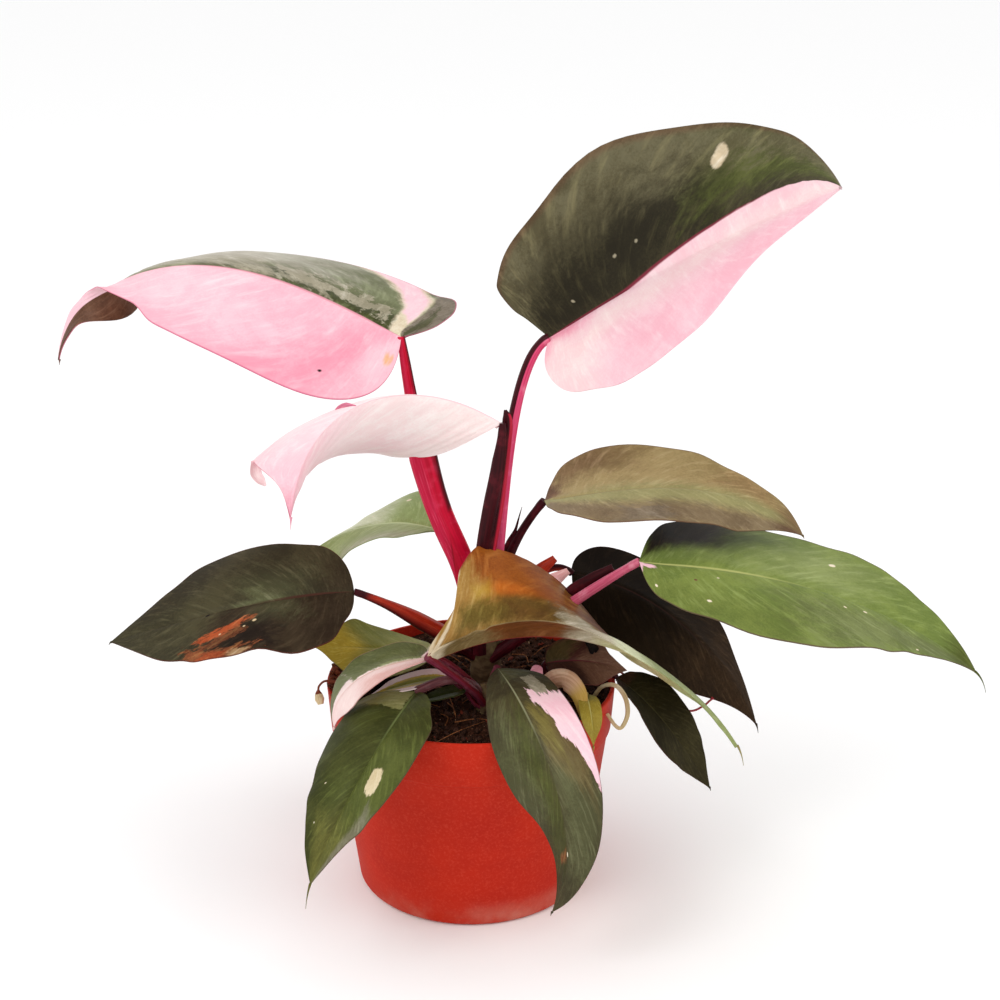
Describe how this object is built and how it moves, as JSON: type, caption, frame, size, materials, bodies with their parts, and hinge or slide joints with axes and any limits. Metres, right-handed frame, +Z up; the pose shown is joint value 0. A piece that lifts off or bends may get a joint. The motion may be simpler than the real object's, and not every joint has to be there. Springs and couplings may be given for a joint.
{
  "type": "pink princess philodendron in nursery pot",
  "caption": "Pink-variegated philodendron with upright crimson petioles and pointed oval leaves, rooted in a tapered terracotta nursery pot of peat.",
  "frame": {"origin": "centre of the pot's flat underside, on the surface it stands on", "axes": "+Z up along the pot's axis, -Y towards the plant's front, +X to the front view's right"},
  "size_m": [0.3802, 0.1734, 0.3219],
  "materials": {
    "pot": "matte moulded terracotta plastic",
    "soil": "loose dark peat",
    "stem": "matte ridged stem",
    "bud": "smooth pale pink",
    "cataphyll": "papery tan",
    "dried": "dry papery straw",
    "petiole_crimson": "smooth waxy crimson",
    "petiole_rose": "smooth waxy rose",
    "petiole_maroon": "smooth waxy maroon",
    "leaf_dark": "waxy, near-black green with pink",
    "leaf_green": "waxy green with cream flecks",
    "leaf_bronze": "waxy bronze",
    "leaf_pink": "waxy pink and grey-green",
    "leaf_pale": "waxy near-white pink",
    "leaf_olive": "waxy yellow-green",
    "leaf_maroon": "waxy maroon"
  },
  "bodies": {
    "root": {"pot": "pot", "soil": "soil", "stem_main": "stem", "stem_front": "stem", "stem_right": "stem", "bud": "bud", "cataphyll": "cataphyll", "dried_loop": "dried", "dried_twig": "dried", "petiole_tall_right": "petiole_rose", "petiole_tall_left": "petiole_crimson", "petiole_young_pale": "petiole_maroon", "petiole_back_left": "petiole_maroon", "petiole_left_dark": "petiole_maroon", "petiole_right_bronze": "petiole_maroon", "petiole_right_green": "petiole_rose", "petiole_right_low": "petiole_maroon", "petiole_centre_bronze": "petiole_rose", "petiole_right_small": "petiole_maroon", "petiole_left_arched": "petiole_rose", "petiole_left_yellow": "petiole_maroon", "petiole_front_left": "petiole_rose", "petiole_front_right": "petiole_rose", "petiole_tiny_cream": "petiole_rose", "petiole_tiny_shaded": "petiole_rose", "petiole_tiny_olive": "petiole_rose", "petiole_folded_maroon": "petiole_maroon", "leaf_tall_right": "leaf_dark", "leaf_tall_left": "leaf_pink", "leaf_young_pale": "leaf_pale", "leaf_back_left": "leaf_green", "leaf_left_dark": "leaf_dark", "leaf_right_bronze": "leaf_bronze", "leaf_right_green": "leaf_green", "leaf_right_low": "leaf_dark", "leaf_centre_bronze": "leaf_bronze", "leaf_right_small": "leaf_dark", "leaf_left_arched": "leaf_pink", "leaf_left_yellow": "leaf_olive", "leaf_front_left": "leaf_green", "leaf_front_right": "leaf_dark", "leaf_tiny_cream": "leaf_olive", "leaf_tiny_shaded": "leaf_green", "leaf_tiny_olive": "leaf_olive", "leaf_folded_maroon": "leaf_maroon"}
  },
  "joints": []
}
